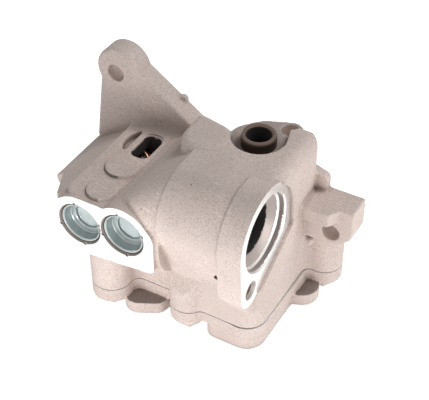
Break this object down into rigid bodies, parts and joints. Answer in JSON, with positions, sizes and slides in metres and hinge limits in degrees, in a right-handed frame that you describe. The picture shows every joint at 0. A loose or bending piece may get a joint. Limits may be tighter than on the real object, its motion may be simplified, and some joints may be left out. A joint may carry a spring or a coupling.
{
  "type": "engine oil pump",
  "caption": "Engine oil pump: cast housing with side suction inlet, outlet spigot, mounting arm, lug and ear, two plugged spool valves, and meshing pump gears under a bolted cover.",
  "frame": {"origin": "axis of the outlet spigot at the machined ear face", "axes": "+X out of the suction inlet, +Y towards the engine side along the mounting bolts, +Z along the gear axes away from the cover"},
  "size_m": [0.1471, 0.0863, 0.1107],
  "materials": {
    "cast_aluminium": "matt",
    "zinc_steel": "satin",
    "dark_steel": "satin",
    "ground_steel": "satin",
    "copper_spring": "satin",
    "bronze": "satin",
    "sintered_steel": "matt"
  },
  "bodies": {
    "pump_body": {"pump_housing": "cast_aluminium", "pump_cover": "cast_aluminium", "cover_screws": "zinc_steel", "cover_dowels": "ground_steel", "outlet_spigot": "dark_steel", "control_valve_plug": "zinc_steel", "relief_valve_plug": "zinc_steel", "control_spring": "copper_spring", "control_spring_seat": "ground_steel", "relief_spring": "ground_steel", "idler_spindle": "ground_steel", "upper_shaft_bush": "bronze", "lower_shaft_bush": "bronze"},
    "drive_rotor": {"drive_shaft": "ground_steel", "drive_gear": "sintered_steel", "drive_gear_key": "ground_steel"},
    "driven_rotor": {"driven_gear": "sintered_steel", "driven_gear_bush": "bronze"},
    "control_spool": {"control_spool": "ground_steel"},
    "relief_piston": {"relief_piston": "ground_steel"}
  },
  "joints": [
    {"name": "drive_spin", "type": "hinge", "parent": "pump_body", "child": "drive_rotor", "pos_m": [0, -0.012, -0.058], "axis": [0, 0, 1], "continuous": true},
    {"name": "driven_spin", "type": "hinge", "parent": "pump_body", "child": "driven_rotor", "pos_m": [-0.033, -0.012, -0.058], "axis": [0, 0, 1], "continuous": true},
    {"name": "control_slide", "type": "slide", "parent": "pump_body", "child": "control_spool", "axis": [0, 1, 0], "range_m": [0, 0.008], "stiffness_N_per_m": 1500, "springref_m": -0.004, "deforming": ["control_spring"]},
    {"name": "relief_slide", "type": "slide", "parent": "pump_body", "child": "relief_piston", "axis": [0, -1, 0], "range_m": [0, 0.006], "stiffness_N_per_m": 2500, "springref_m": -0.004, "deforming": ["relief_spring"]}
  ],
  "couplings": [
    {"joint": "driven_spin", "follows": "drive_spin", "ratio": -1}
  ]
}
